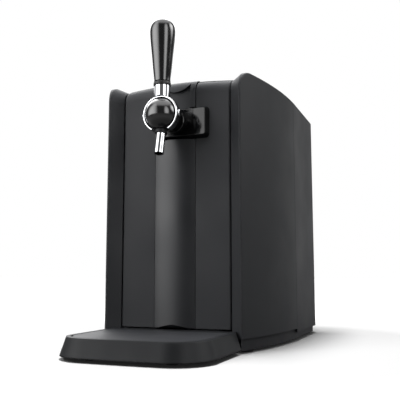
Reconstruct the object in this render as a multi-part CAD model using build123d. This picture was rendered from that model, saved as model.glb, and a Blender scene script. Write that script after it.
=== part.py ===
"""Home draught beer dispenser for slim mini kegs: cooled keg bay, swinging tap door, lid and drip tray.

Millimetres, +Z up, front towards -Y, X = 0 on the centre line, Z = 0 on the worktop.
The origin is the middle of the overall box, at its base.
"""
from build123d import *
import math
import os

# ---------------------------------------------------------------- housing form
tip_half_width = 99.2        # half width across the two front cheeks
max_half_width = 130.5       # half width where the sides bow out furthest
tip_y = -104.0               # front edge of the cheeks
widest_y = 93.0              # depth at which the sides are widest
rear_y = 247.0
rear_corner_r = 25.0
tail_r = 17.0                # rounding from the top into the back
tail_round = 0.985           # the tail bulges this much of a quarter circle
lip_half_width = 81.4        # inner edge of the cheeks
panel_y = -89.6              # plane of the front panels
hood_z = 366.5               # top surface beside the cheeks
hood_crown = 4.5             # how much higher the top is on the centre line
crest_z = 373.2              # top of the cheeks
bend_r = 18.0                # rounding from the front panels into the top
crest_bend_r = 26.0          # the same bend on the cheeks
tip_land = 2.4               # flat left on the cheek tips outside the flank
crest_edge_r = 2.0
shell = 2.6                  # wall of the outer mouldings
side_bottom_z = 18.5
side_seam_y = 78.0           # joint between side panels and rear cover
rib_heights = [110.0, 200.0, 290.0]
rib_t = 2.2                  # stiffening ribs inside the side panels
rib_depth = 5.0
seam_gap = 0.6
rear_bottom_z = 13.0
vent_pitch = 9.5
vent_h = 4.6
vent_low_z0 = 17.5
vent_low_z1 = 151.0
vent_high_z0 = 244.0
vent_high_z1 = 286.0
vent_corner_x = 97.0         # the corner slots start here on the back
vent_corner_y = 227.0        # and end here on the side
vent_rib = 4.0               # half width of the rib between the middle slots
fan_vent_half_w = 44.0       # slots in front of the fan
screw_r = 1.8
screw_head_r = 3.6
screw_head_t = 2.0
screw_boss = 2.5             # wall round a screw hole
rear_screw_spots = [(-88.0, 337.0), (88.0, 337.0), (-88.0, 20.0), (88.0, 20.0)]
inlet_x = (-66.0, -36.0)
inlet_z = (32.0, 54.0)
switch_x = (-26.0, -6.0)
switch_z = (35.0, 51.0)
inlet_depth = 14.0
rocker_r = 6.6
rocker_half_w = 6.5
rocker_pin_r = 1.2
fit_gap = 0.3                # clearance between a cover and what it goes over

# ---------------------------------------------------------------- base and feet
foot_h = 3.0
foot_r = 9.0
foot_x = 95.0
foot_y = (-70.0, 210.0)
base_inset = 4.5
base_wall = 3.0
base_floor_z = 3.0           # underside of the base
base_floor = 3.0
base_rim_z = 26.0
hinge_seat_z = 27.4          # top of the lower hinge boss, above the drip tray
hinge_boss_wall = 3.4

# ---------------------------------------------------------------- keg bay
keg_r = 66.0                 # largest keg that the bay takes
keg_gap = 2.5
bay_center_y = 15.0
bay_floor_z = 30.0
bay_wall = 2.0
seat_h = 3.0                 # raised ring that centres the keg
seat_w = 6.0
frame_y = -61.5              # front face of the bay's front frame
frame_t = 4.0
frame_sill_z = 37.0
frame_head_z = 318.0
insulation_t = 18.0
deck_z = 334.0
deck_t = 6.0
deck_back_y = 205.0
deck_edge_y = 184.6          # front edge of the cover behind the lid

# ---------------------------------------------------------------- front door
door_gap = 1.0               # slot between the panels and the cheeks
panel_bottom_z = 28.6
panel_back_y = -72.0         # where the panels end on the top bend
panel_return = 8.0           # how far the panel edges turn inwards
panel_return_t = 1.6
door_edge_r = 2.5
column_left_x = -30.3
column_right_x = 29.4
column_seam = 0.8            # open seam on the right of the column
column_bulge = 7.0
block_bottom_z = 286.0
block_top_z = 330.0
block_front_y = -98.8
block_draft = 3.4            # how far the block's face is inside its foot
block_edge_r = 1.2
display_right_x = 50.5
display_corner_r = 6.0
window_margin = 4.0          # rim of the block outside the panel's window
liner_back_y = -64.0
liner_half_width = 78.4
liner_bottom_z = 30.0
liner_top_z = 327.0
liner_wall = 2.4
gasket_half_width = 74.5
gasket_w = 4.5
gasket_z0 = 31.0
gasket_z1 = 324.0
door_axis_x = -74.4
door_axis_y = -83.6
door_pin_r = 1.6
door_boss_r = 3.8
door_eye_r = 3.1
door_screw_x = 64.0
door_screw_heights = [50.0, 180.0, 300.0]

# ---------------------------------------------------------------- tap
ball_y = -135.0
ball_z = 311.0
ball_r = 22.6
barrel_r = 14.0
barrel_bore_r = 4.0
ball_bore_r = 3.4
thread_r = 8.0
barrel_tail_y = -78.0
flange_r = 17.0
flange_t = 2.0
nut_r = 15.0
nut_t = 5.0
yoke_gap = 0.35              # running gap between the fixed ball and the yoke
yoke_t = 1.9
yoke_front = -7.5            # yoke band, measured from the ball's centre
yoke_back = 4.2
yoke_mouth_deg = 30.0        # half of the opening at the bottom
yoke_edge_r = 1.2
pivot_r = 2.4
pivot_root_x = 14.0          # how deep the pivots reach into the ball
pivot_head_r = 4.6
pivot_head_t = 1.6
neck_r = 10.8
spigot_r = 6.0
spigot_h = 16.0
grip_bottom_z = 355.0
grip_top_z = 444.0
grip_dome_h = 22.0           # from the widest place to the top
grip_wide_r = 17.6
grip_foot_r = 11.2
spout_r = 6.4
spout_bore_r = 5.0
spout_bottom_z = 257.0
spout_axis_y = -131.5        # where the spout's line crosses the ball's height
spout_lean_deg = 13.0
spout_root = 14.0            # where the spout starts inside the ball
collar_r = 8.2
collar_bottom_z = 284.5
stub_r = 5.0
stub_bore_r = 2.6
stub_end_y = -54.0

# ---------------------------------------------------------------- lid
tongue_half_w = 30.0
tongue_bottom_z = 331.2
tongue_t = 10.0
notch_gap = 1.1
notch_corner_r = 2.5         # plan rounding of the panels beside the tongue
lid_gap = 0.8
lid_rise = 2.2               # how far the front of the lid stands proud
lid_wall = 2.4
lid_axis_y = 172.0
lid_axis_z = 359.5
lid_skirt_z = 352.5
lid_tail_r = 11.8
lid_pin_r = 2.0
lid_ear_r = 4.0
lid_core_back_y = 98.0
lid_core_gap = 5.2           # front of the core behind the lid's front edge
lid_core_z = 346.0
lid_gasket_w = 4.0
grip_half_w = 22.0           # finger recess in the tongue, under a round nose
grip_depth = 4.0
nose_r = 26.0
pull_screw_x = (-20.0, 20.0)
pull_screw_z = 366.0
pull_screw_len = 6.0
nose_z = 355.0               # lowest point of the nose

# ---------------------------------------------------------------- drip tray
tray_front_y = -247.0
tray_back_y = -105.2
tray_foot_half_w = 98.8
tray_top_half_w = 91.4
tray_bottom_z = 4.5
tray_top_z = 26.8
tray_corner_r = 50.0
tray_wall = 2.6
tray_floor = 2.4
tray_tongue_gap = 3.4        # beside the lower hinge boss, where the tray goes in under the door
tray_tongue_y = -84.0
tray_valley_y = -93.0        # how far the tray follows the flanks inwards
tray_bow = 2.7
tray_pad_r = 8.0
plate_t = 2.4                # drip plate
plate_rim = 5.5              # rim of the tray outside the drip plate
drain_gap = 1.6              # gap that drains round the drip plate
ledge_w = 3.0

# ---------------------------------------------------------------- cooling unit and fan
saddle_half_w = 35.0         # cold plate
saddle_back_y = 100.0
saddle_z0 = 120.0
saddle_z1 = 220.0
module_size = 40.0
module_t = 4.0
bulkhead_t = 2.2
sink_half_w = 46.0
sink_z0 = 112.0
sink_z1 = 228.0
sink_base_t = 6.0
fin_depth = 26.0
fin_t = 1.6
fin_count = 13
fan_size = 92.0
fan_depth = 25.0
fan_wall = 1.5
fan_screw_pitch = 82.5
fan_screw_r = 1.9
hub_r = 17.0
blade_count = 7
blade_pitch_deg = 34.0
shaft_r = 2.0

# ---------------------------------------------------------------- electronics and air pump
supply_x = (-108.0, -38.0)
supply_y = (140.0, 220.0)
supply_h = 42.0
board_x = (-110.0, -54.0)
board_z = (80.0, 200.0)
board_t = 1.6
standoff_h = 5.0
pump_x = 84.0
pump_y = (128.0, 206.0)
pump_r = 21.0
hose_r = 2.5
hose_bore_r = 1.5
port_x = 46.0                # air port on the deck, under the lid
port_y = 128.0

running_gap = 0.06           # radial clearance of pins that turn

# ---------------------------------------------------------------- worked out from the sizes above
bay_half_width = keg_r + keg_gap
sink_y = saddle_back_y + module_t
fan_y = sink_y + sink_base_t + fin_depth
cooler_z = (saddle_z0 + saddle_z1) / 2
switch_mid_x = (switch_x[0] + switch_x[1]) / 2
switch_mid_z = (switch_z[0] + switch_z[1]) / 2
rocker_y = rear_y - 8.0
pin_bottom_z = base_rim_z - 12.0
grip_wide_z = grip_top_z - grip_dome_h
tray_tongue_w = -door_axis_x - door_pin_r - hinge_boss_wall - tray_tongue_gap


def span(x, y, z):
    """Box between two corners, each direction given as a (low, high) pair."""
    size = [b - a for a, b in (x, y, z)]
    middle = [(a + b) / 2 for a, b in (x, y, z)]
    return Pos(*middle) * Box(*size)


def rod_z(r, x, y, z0, z1):
    """Upright cylinder."""
    return Pos(x, y, (z0 + z1) / 2) * Cylinder(r, z1 - z0)


def rod_x(r, x0, x1, y, z):
    """Cylinder lying across the machine."""
    return Pos((x0 + x1) / 2, y, z) * Rot(0, 90, 0) * Cylinder(r, x1 - x0)


def rod_y(r, x, y0, y1, z):
    """Cylinder lying front to back."""
    return Pos(x, (y0 + y1) / 2, z) * Rot(90, 0, 0) * Cylinder(r, y1 - y0)


def both_sides(piece):
    """A piece and its mirror image across the centre line."""
    return piece + mirror(piece, about=Plane.YZ)


# ---------------------------------------------------------------- shared forms
side_r = ((widest_y - tip_y) ** 2 + (max_half_width - tip_half_width) ** 2) / (
    2 * (max_half_width - tip_half_width))


def side_x(y, inset=0.0):
    """Half width of the bowed side at a depth in front of the widest station."""
    r = side_r - inset
    return max_half_width - side_r + math.sqrt(r * r - (widest_y - y) ** 2)


def body_plan(inset=0.0, front=tip_y):
    """Plan of the housing: bowed sides, straight tail, round rear corners."""
    y0, y1 = front + inset, rear_y - inset
    x0, x1 = side_x(y0, inset), max_half_width - inset
    r = rear_corner_r - inset
    corner = r * (1 - math.sqrt(0.5))
    middle_y = (y0 + widest_y) / 2
    half = [
        Line((0, y0), (x0, y0)),
        ThreePointArc((x0, y0), (side_x(middle_y, inset), middle_y), (x1, widest_y)),
        Line((x1, widest_y), (x1, y1 - r)),
        ThreePointArc((x1, y1 - r), (x1 - corner, y1 - corner), (x1 - r, y1)),
        Line((x1 - r, y1), (0, y1)),
    ]
    curve = Curve() + half
    return make_face(curve + mirror(curve, about=Plane.YZ))


low_z = -10.0                # below everything, for forms that are trimmed later


def side_view(front, top, bend, inset):
    """Side view of the housing: upright front, round bend, flat top, round tail."""
    back = rear_y - inset
    tail = tail_r - inset
    b, t = bend * (1 - math.sqrt(0.5)), tail * (1 - tail_round * math.sqrt(0.5))
    edges = [
        Line((front, low_z), (front, top - bend)),
        ThreePointArc((front, top - bend), (front + b, top - b), (front + bend, top)),
        Line((front + bend, top), (back - tail, top)),
        ThreePointArc((back - tail, top), (back - t, top - t), (back, top - tail)),
        Line((back, top - tail), (back, low_z)),
        Line((back, low_z), (front, low_z)),
    ]
    return make_face(Curve() + edges)


def flank_form(inset=0.0):
    """Right-hand cheek: a ruled sweep from the panel edge out to the cheek tip, then straight out."""
    inner = Plane.YZ.offset(lip_half_width) * side_view(
        panel_y + inset, hood_z - inset, bend_r - inset, inset)
    outer = Plane.YZ.offset(tip_half_width - tip_land) * side_view(
        tip_y + inset, crest_z - inset, crest_bend_r - inset, inset)
    return loft([inner, outer], ruled=True) + extrude(outer, max_half_width)


def hood_form(inset=0.0):
    """Middle of the housing between the cheeks: flat front, bend, slightly crowned top, round tail."""
    top = hood_z - inset
    edges = [
        Line((-lip_half_width, low_z), (lip_half_width, low_z)),
        Line((lip_half_width, low_z), (lip_half_width, top)),
        ThreePointArc((lip_half_width, top), (0, top + hood_crown), (-lip_half_width, top)),
        Line((-lip_half_width, top), (-lip_half_width, low_z)),
    ]
    section = Plane.XZ * make_face(Curve() + edges)
    depth = rear_y - panel_y - 2 * inset
    form = Pos(0, panel_y + inset, 0) * extrude(section, -depth)
    top_edges = form.edges().filter_by(lambda e: e.center().Z > top - 1 and abs(e.center().X) < 1)
    form = fillet(top_edges.sort_by(Axis.Y)[0], bend_r - inset)
    top_edges = form.edges().filter_by(lambda e: e.center().Z > top - 1 and abs(e.center().X) < 1)
    return fillet(top_edges.sort_by(Axis.Y)[-1], tail_r - inset)


def tail_form(inset=0.0):
    """The same middle as a loft through three side views, which meets the cheeks exactly at the tail."""
    sections = []
    for x, rise in ((-lip_half_width, 0), (0, hood_crown), (lip_half_width, 0)):
        view = side_view(panel_y + inset, hood_z + rise - inset, bend_r - inset, inset)
        sections.append(Plane.YZ.offset(x) * view)
    return loft(sections)


def cheek_form(inset=0.0):
    """Both sides of the housing outside the lips, trimmed to the plan."""
    return flank_form(inset) & extrude(body_plan(inset, tip_y - bend_r), 2 * crest_z)


def crest_edges(form):
    """Outer edge of the cheek: up the tip, over the bend and back along the top."""
    def on_crest(edge):
        point = edge @ 0.5
        if point.Z > crest_z - 1:
            return point.X > side_x(min(point.Y, widest_y)) - 0.1 and point.Y < rear_y - rear_corner_r
        on_tip = point.X > side_x(point.Y) - 0.1 if point.Y < widest_y else False
        return on_tip and point.Y < tip_y + crest_bend_r and point.Z > 0
    return form.edges().filter_by(on_crest)


# ---------------------------------------------------------------- housing covers
def side_panel():
    """Right side panel: cheek, bowed wall and crest as one open moulding with stiffening ribs."""
    region = span((lip_half_width, 200), (-200, side_seam_y), (side_bottom_z, 400))
    outer = cheek_form() & region
    outer = fillet(crest_edges(outer), crest_edge_r)
    inner = cheek_form(shell) & span((0, 200), (-200, rear_y), (low_z, 400))
    panel = outer - inner
    ribs = Part()
    for z in rib_heights:
        ribs += span((90, 200), (frame_y + frame_t + 1, side_seam_y - 6), (z, z + rib_t))
    bands = cheek_form(shell) - extrude(body_plan(shell + rib_depth), 400)
    return panel + (ribs & bands)


def vent_rows(first_z, last_z):
    """Heights of a column of ventilation slots."""
    count = int((last_z - first_z) / vent_pitch + 0.5) + 1
    return [first_z + vent_pitch * i for i in range(count)]


def rear_cover():
    """Back shell with vent slots wrapped round both corners and a fan grille between them."""
    region = span((-200, 200), (side_seam_y + seam_gap, 300), (rear_bottom_z, 400))
    rounded_plan = extrude(body_plan(0, tip_y - bend_r), crest_z)
    rounded_plan = fillet(rounded_plan.faces().sort_by(Axis.Z)[-1].edges(), crest_edge_r)
    sides = flank_form() & rounded_plan & region
    outer = both_sides(sides) + (tail_form() & region)
    hollow = span((-200, 200), (0, 300), (low_z, 400))
    inner = both_sides(cheek_form(shell) & hollow) + (tail_form(shell) & hollow)
    cover = outer - inner
    lid_bay = span((-lip_half_width, lip_half_width), (0, deck_edge_y), (300, 400))
    cover -= lid_bay
    corner = span((vent_corner_x, 200), (vent_corner_y, 300), (-vent_h / 2, vent_h / 2))
    middle = span((vent_rib, fan_vent_half_w), (rear_y - 5, 300), (-vent_h / 2, vent_h / 2))
    slots = [Pos(0, 0, z) * corner for z in vent_rows(vent_low_z0, vent_low_z1)]
    slots += [Pos(0, 0, z) * corner for z in vent_rows(vent_high_z0, vent_high_z1)]
    fan_rows = vent_rows(cooler_z - fan_vent_half_w, cooler_z + fan_vent_half_w)
    slots += [Pos(0, 0, z) * middle for z in fan_rows]
    for slot in slots:
        cover -= slot
        cover -= mirror(slot, about=Plane.YZ)
    cover -= span(inlet_x, (rear_y - 8, rear_y + 5), inlet_z)
    cover -= span(switch_x, (rear_y - 8, rear_y + 5), switch_z)
    for x, z in rear_screw_spots:
        cover -= rod_y(screw_r, x, rear_y - 8, rear_y + 5, z)
        cover -= rod_y(screw_head_r, x, rear_y - screw_head_t, rear_y + 5, z)
    return cover


def front_notch(inset=0.0):
    """What the base leaves out in front: the valley between the cheeks and the space under the door."""
    slope = (tip_half_width - tip_land - lip_half_width) / (panel_y - tip_y)
    reach = 40.0
    x0 = lip_half_width
    points = [(-x0 - slope * reach, panel_y + inset - reach), (-x0, panel_y + inset), (x0, panel_y + inset),
              (x0 + slope * reach, panel_y + inset - reach)]
    return extrude(make_face(Polyline(points, close=True)), 60)


def base_pan():
    """Moulded base: floor, rim inside the covers, cross ribs under the keg bay and the lower hinge boss."""
    height = base_rim_z - base_floor_z
    outer = extrude(body_plan(base_inset), height) - front_notch(base_inset)
    recess_w = tray_tongue_w + fit_gap
    outer -= span((-recess_w, recess_w), (-120, tray_tongue_y + fit_gap), (-1, 60))
    inner = extrude(body_plan(base_inset + base_wall), height) - front_notch(base_inset + base_wall)
    inner -= span((-tray_tongue_w - base_wall, tray_tongue_w + base_wall),
                  (-120, tray_tongue_y + base_wall), (-1, 60))
    pan = outer - Pos(0, 0, base_floor) * inner
    pan = Pos(0, 0, base_floor_z) * pan
    support = base_floor_z + base_floor
    reach = keg_r - seat_w
    for y in (bay_center_y - reach * 0.8, bay_center_y, bay_center_y + reach * 0.8):
        pan += span((-reach, reach), (y - 1.5, y + 1.5), (support, bay_floor_z - bay_wall))
    for x in (-reach * 0.7, reach * 0.7):
        pan += span((x - 1.5, x + 1.5), (bay_center_y - reach, bay_center_y + reach),
                    (support, bay_floor_z - bay_wall))
    pan += rod_z(door_pin_r + hinge_boss_wall, door_axis_x, door_axis_y, base_floor_z, hinge_seat_z)
    for x, z in rear_screw_spots[2:]:
        pan += rod_y(screw_r + screw_boss, x, rear_y - base_inset - base_wall, rear_y - shell - fit_gap, z)
        pan -= rod_y(screw_r, x, rear_y - 20, rear_y, z)
    bore = rod_z(door_pin_r + running_gap, door_axis_x, door_axis_y, pin_bottom_z - 1, hinge_seat_z + 1)
    return pan - bore


def rubber_feet():
    """Four turned rubber feet under the base."""
    feet = Part()
    for x in (-foot_x, foot_x):
        for y in foot_y:
            feet += Pos(x, y, base_floor_z / 2) * Cone(foot_r - 1, foot_r, base_floor_z)
    return feet


# ---------------------------------------------------------------- keg bay
def bay_plan(half_width, front):
    """U-shaped plan of the keg bay: straight cheeks in front, half round behind."""
    y = bay_center_y
    edges = [
        Line((half_width, front), (half_width, y)),
        ThreePointArc((half_width, y), (0, y + half_width), (-half_width, y)),
        Line((-half_width, y), (-half_width, front)),
        Line((-half_width, front), (half_width, front)),
    ]
    return make_face(Curve() + edges)


def bay_block(half_width, front, z0, z1):
    return Pos(0, 0, z0) * extrude(bay_plan(half_width, front), z1 - z0)


def keg_well():
    """Thin moulded liner of the keg bay, open in front and on top, with a ring that centres the keg."""
    back = frame_y + frame_t
    outer = bay_block(bay_half_width + bay_wall, back, bay_floor_z - bay_wall, deck_z)
    inner = bay_block(bay_half_width, back - 1, bay_floor_z, deck_z + 1)
    ring = rod_z(keg_r, 0, bay_center_y, bay_floor_z - 0.1, bay_floor_z + seat_h)
    ring -= rod_z(keg_r - seat_w, 0, bay_center_y, bay_floor_z - 1, bay_floor_z + seat_h + 1)
    window = span((-saddle_half_w, saddle_half_w), (bay_center_y, saddle_back_y), (saddle_z0, saddle_z1))
    return outer - inner + (ring & outer) - window


def front_frame():
    """Upright frame that closes the space between the side panels and the keg bay."""
    z0 = base_rim_z + fit_gap
    width = side_x(frame_y, shell) - fit_gap
    plate = span((-width, width), (frame_y, frame_y + frame_t), (z0, deck_z))
    half = bay_half_width - 0.5
    plate -= span((-half, half), (frame_y - 1, frame_y + frame_t + 1), (frame_sill_z, frame_head_z))
    corners = plate.edges().filter_by(Axis.Y).filter_by(lambda e: abs(e.center().X) < half + 1)
    return fillet(corners, 6)


def insulation():
    """Rigid foam jacket round the keg bay."""
    front = frame_y + frame_t + fit_gap
    t = bay_half_width + bay_wall
    z0, z1 = bay_floor_z, deck_z - 1
    jacket = bay_block(t + insulation_t, front, z0, z1) - bay_block(t + fit_gap, front - 1, z0 - 1, z1 + 1)
    m = saddle_half_w + fit_gap
    return jacket - span((-m, m), (bay_center_y, 200), (saddle_z0 - fit_gap, saddle_z1 + fit_gap))


def top_deck():
    """Deck round the top of the keg bay: lid hinge ears, upper door hinge arm and rear screw posts."""
    z0, z1 = deck_z, deck_z + deck_t
    plate = Pos(0, 0, z0) * extrude(body_plan(shell + fit_gap), deck_t)
    plate &= span((-200, 200), (frame_y, deck_back_y), (z0 - 1, z1 + 1))
    plate -= bay_block(bay_half_width - 1, frame_y + 5, z0 - 1, z1 + 1)
    ear_x = (lip_half_width + 1.8, lip_half_width + 6.2)
    ear = span(ear_x, (lid_axis_y - lid_ear_r, lid_axis_y + lid_ear_r), (z1 - 1, lid_axis_z))
    ear += rod_x(lid_ear_r, *ear_x, lid_axis_y, lid_axis_z)
    ear -= rod_x(lid_pin_r, ear_x[0] - 1, ear_x[1] + 1, lid_axis_y, lid_axis_z)
    arm = rod_z(door_eye_r, door_axis_x, door_axis_y, z0, z1)
    arm += span((door_axis_x + 0.7, door_axis_x + 6.0), (door_axis_y, frame_y + 1), (z0, z1))
    arm -= rod_z(door_pin_r + running_gap, door_axis_x, door_axis_y, z0 - 1, z1 + 1)
    deck = plate + both_sides(ear) + arm
    for x, z in rear_screw_spots[:2]:
        deck += rod_y(screw_r + screw_boss, x, deck_back_y - 6, rear_y - shell - fit_gap, z)
        deck -= rod_y(screw_r, x, rear_y - 20, rear_y, z)
    return deck - rod_z(hose_r + 1.5, port_x, port_y, z0 - 1, z1 + 1)


# ---------------------------------------------------------------- cooling unit
def cold_plate():
    """Aluminium saddle: its hollow face is part of the bay's wall."""
    depth = (bay_center_y + keg_r / 2, saddle_back_y)
    block = span((-saddle_half_w, saddle_half_w), depth, (saddle_z0, saddle_z1))
    return block - rod_z(bay_half_width, 0, bay_center_y, saddle_z0 - 1, saddle_z1 + 1)


def cooling_module():
    """Thin thermoelectric tile clamped between the saddle and the heat sink."""
    return Pos(0, saddle_back_y + module_t / 2, cooler_z) * Box(module_size, module_t, module_size)


def bulkhead():
    """Upright wall between the insulated bay and the electronics, with a window for the heat sink."""
    width = max_half_width - shell - 1.5
    wall = span((-width, width), (sink_y + 1, sink_y + 1 + bulkhead_t), (base_rim_z + fit_gap, deck_z))
    m = sink_half_w + fit_gap
    return wall - span((-m, m), (sink_y, sink_y + 4), (sink_z0 - fit_gap, sink_z1 + fit_gap))


def heat_sink():
    """Extruded heat sink: base plate with upright fins."""
    fins_y = sink_y + sink_base_t
    sink = span((-sink_half_w, sink_half_w), (sink_y, fins_y), (sink_z0, sink_z1))
    step = (2 * sink_half_w - fin_t) / (fin_count - 1)
    for i in range(fin_count):
        x = -sink_half_w + step * i
        sink += span((x, x + fin_t), (fins_y - 0.1, fan_y), (sink_z0, sink_z1))
    return sink


def corner_spots(pitch):
    """The four fixing points of a square fan."""
    return [(x * pitch / 2, cooler_z + z * pitch / 2) for x in (-1, 1) for z in (-1, 1)]


def fan_frame():
    """Square axial fan housing with a round duct, four struts and a bearing hub."""
    half = fan_size / 2
    y1 = fan_y + fan_depth
    body = Pos(0, (fan_y + y1) / 2, cooler_z) * Box(fan_size, fan_depth, fan_size)
    body = fillet(body.edges().filter_by(Axis.Y), 4)
    body -= rod_y(half - fan_wall, 0, fan_y - 1, y1 + 1, cooler_z)
    for x, z in corner_spots(fan_screw_pitch):
        body -= rod_y(fan_screw_r + 0.2, x, fan_y - 1, y1 + 1, z)
    hub = rod_y(hub_r, 0, y1 - 4, y1, cooler_z)
    for angle in (45, 135, 225, 315):
        strut = Pos(0, y1 - 2, cooler_z) * Rot(0, angle, 0) * Pos(half / 2, 0, 0) * Box(half, 4, 4)
        hub += strut
    return body + hub - rod_y(shaft_r + running_gap, 0, y1 - 5, y1 + 1, cooler_z)


def fan_rotor():
    """Hub with swept blades, turning on its own shaft in the fan's bearing."""
    y0, y1 = fan_y + 2, fan_y + fan_depth - 5
    tip_r = fan_size / 2 - fan_wall - 1.2
    depth = y1 - y0
    rotor = rod_y(hub_r, 0, y0, y1, cooler_z)
    chord = depth / math.cos(math.radians(blade_pitch_deg)) - 3
    blade = Pos(0, 0, (hub_r - 2 + tip_r) / 2) * Box(1.4, chord, tip_r - hub_r + 2)
    for i in range(blade_count):
        turned = Rot(0, 360 / blade_count * i, 0) * Rot(0, 0, blade_pitch_deg) * blade
        rotor += Pos(0, (y0 + y1) / 2, cooler_z) * turned
    rotor &= rod_y(tip_r, 0, y0, y1, cooler_z)
    return rotor + rod_y(shaft_r, 0, y1 - 0.1, fan_y + fan_depth, cooler_z)


def fan_screws():
    """Four long screws that hold the fan on the heat sink's fins."""
    screws = Part()
    y1 = fan_y + fan_depth
    for x, z in corner_spots(fan_screw_pitch):
        screws += rod_y(fan_screw_r, x, fan_y - 8, y1, z) + rod_y(fan_screw_r + 1.8, x, y1, y1 + 2, z)
    return screws


# ---------------------------------------------------------------- electronics and air
def power_supply():
    """Encapsulated power supply with cooling ribs on its cover."""
    floor = base_floor_z + base_floor
    box = span(supply_x, supply_y, (floor, floor + supply_h))
    box = fillet(box.edges().filter_by(Axis.Z), 4)
    box = chamfer(box.faces().sort_by(Axis.Z)[-1].edges(), 1.5)
    top = floor + supply_h
    for i in range(6):
        x = supply_x[0] + 12 + 9 * i
        box -= span((x, x + 3), (supply_y[0] + 10, supply_y[1] - 10), (top - 2, top + 1))
    return box


def control_board():
    """Circuit board on four standoffs, with relays and capacitors."""
    wall_y = sink_y + 1 + bulkhead_t
    y0 = wall_y + standoff_h
    board = span(board_x, (y0, y0 + board_t), board_z)
    for x in (board_x[0] + 5, board_x[1] - 5):
        for z in (board_z[0] + 5, board_z[1] - 5):
            board += rod_y(2.5, x, wall_y, y0, z)
    y1 = y0 + board_t
    middle = (board_x[0] + board_x[1]) / 2
    for i in range(3):
        x = middle - 20 + 14 * i
        board += span((x, x + 11), (y1, y1 + 12), (board_z[0] + 14, board_z[0] + 34))
        board += rod_y(5, x + 6, y1, y1 + 14, board_z[1] - 24)
    board += span((middle - 9, middle + 9), (y1, y1 + 2), (board_z[0] + 52, board_z[0] + 70))
    return board


def air_pump():
    """Small diaphragm air pump: motor can, bracket and pump head."""
    floor = base_floor_z + base_floor
    z = floor + pump_r + 3
    y0, y1 = pump_y
    bracket = span((pump_x - pump_r, pump_x + pump_r), (y0 + 8, y1 - 30), (floor, floor + 3))
    bracket += span((pump_x - 10, pump_x + 10), (y0 + 12, y1 - 34), (floor, z - pump_r / 2))
    can = rod_y(pump_r - 3, pump_x, y0, y1 - 25, z)
    head = rod_y(pump_r, pump_x, y1 - 26, y1 - 8, z) + rod_y(pump_r - 6, pump_x, y1 - 9, y1, z)
    return bracket + can + head + rod_z(hose_r, pump_x, y1 - 17, z + pump_r - 4, z + pump_r + 6)


def air_line():
    """Air hose from the pump's nipple up to the port in the deck."""
    start_z = base_floor_z + base_floor + 2 * pump_r + 3 + 6
    y = pump_y[1] - 17
    points = [(pump_x, y, start_z), (pump_x, y, start_z + 40), (pump_x + 10, y - 8, start_z + 100),
              (pump_x + 8, y - 20, start_z + 170), (pump_x - 14, y - 40, deck_z - 40),
              (port_x, port_y, deck_z - 22), (port_x, port_y, deck_z)]
    path = FilletPolyline(*points, radius=14)
    ring = Plane(origin=points[0], z_dir=(0, 0, 1)) * (Circle(hose_r) - Circle(hose_bore_r))
    return sweep(ring, path=path)


def air_port():
    """Barbed port on the deck, under the lid, for the keg's air hose."""
    z = deck_z + deck_t
    port = rod_z(hose_r + 1.5, port_x, port_y, deck_z, z) + rod_z(7, port_x, port_y, z, z + 2)
    port += rod_z(2.6, port_x, port_y, z + 2, z + 12)
    for i in range(2):
        port += Pos(port_x, port_y, z + 6 + 3 * i) * Cone(3.4, 2.6, 2)
    return port - rod_z(hose_bore_r, port_x, port_y, deck_z - 1, z + 14)


def mains_inlet():
    """Appliance inlet in the back: flange inside the cover, shrouded socket."""
    x0, x1 = inlet_x
    z0, z1 = inlet_z
    inner_y = rear_y - shell
    flange = span((x0 - 4, x1 + 4), (inner_y - 3, inner_y), (z0 - 3, z1 + 3))
    body = span((x0 + fit_gap, x1 - fit_gap), (inner_y - 22, rear_y - 0.5), (z0 + fit_gap, z1 - fit_gap))
    body = fillet(body.edges().filter_by(Axis.Y), 2)
    cavity = span((x0 + 2, x1 - 2), (inner_y - inlet_depth, rear_y + 1), (z0 + 2, z1 - 2))
    cavity = chamfer(cavity.edges().filter_by(Axis.Y).group_by(Axis.Z)[-1], 5)
    return flange + body - cavity - inlet_pins()


def inlet_pins():
    """Three flat contact blades inside the inlet."""
    x, z = (inlet_x[0] + inlet_x[1]) / 2, (inlet_z[0] + inlet_z[1]) / 2
    bottom = rear_y - shell - inlet_depth
    pins = Part()
    for dx, dz in ((-7, 1), (0, 5), (7, 1)):
        pins += span((x + dx - 1, x + dx + 1), (bottom - 4, bottom + 13), (z + dz - 2, z + dz + 2))
    return pins


def switch_bezel():
    """Frame of the power switch, snapped in from inside."""
    x0, x1 = switch_x
    z0, z1 = switch_z
    inner_y = rear_y - shell
    bezel = span((x0 - 3, x1 + 3), (inner_y - 2.5, inner_y), (z0 - 3, z1 + 3))
    bezel += span((x0 + fit_gap, x1 - fit_gap), (inner_y - 16, rear_y - 0.5), (z0 + fit_gap, z1 - fit_gap))
    w, h = rocker_half_w + fit_gap, rocker_r + fit_gap
    bezel -= Pos(switch_mid_x, rear_y, switch_mid_z) * Box(2 * w, 2 * (rear_y - inner_y + 14), 2 * h)
    return bezel - rod_x(rocker_pin_r + running_gap, x0 + 1, x1 - 1, rocker_y, switch_mid_z)


def rocker():
    """Rocker of the power switch on its cross pin."""
    x0, x1 = switch_mid_x - rocker_half_w, switch_mid_x + rocker_half_w
    body = rod_x(rocker_r, x0, x1, rocker_y, switch_mid_z)
    body -= span((-200, 200), (0, rocker_y - 3), (0, 100))
    for side in (-1, 1):
        cutter = Pos(0, 10, side * 14.5) * Box(400, 20, 30)
        body -= Pos(0, rocker_y + 4.6, switch_mid_z) * Rot(side * 9, 0, 0) * cutter
    return body + rod_x(rocker_pin_r, switch_x[0] + 1.2, switch_x[1] - 1.2, rocker_y, switch_mid_z)


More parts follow.
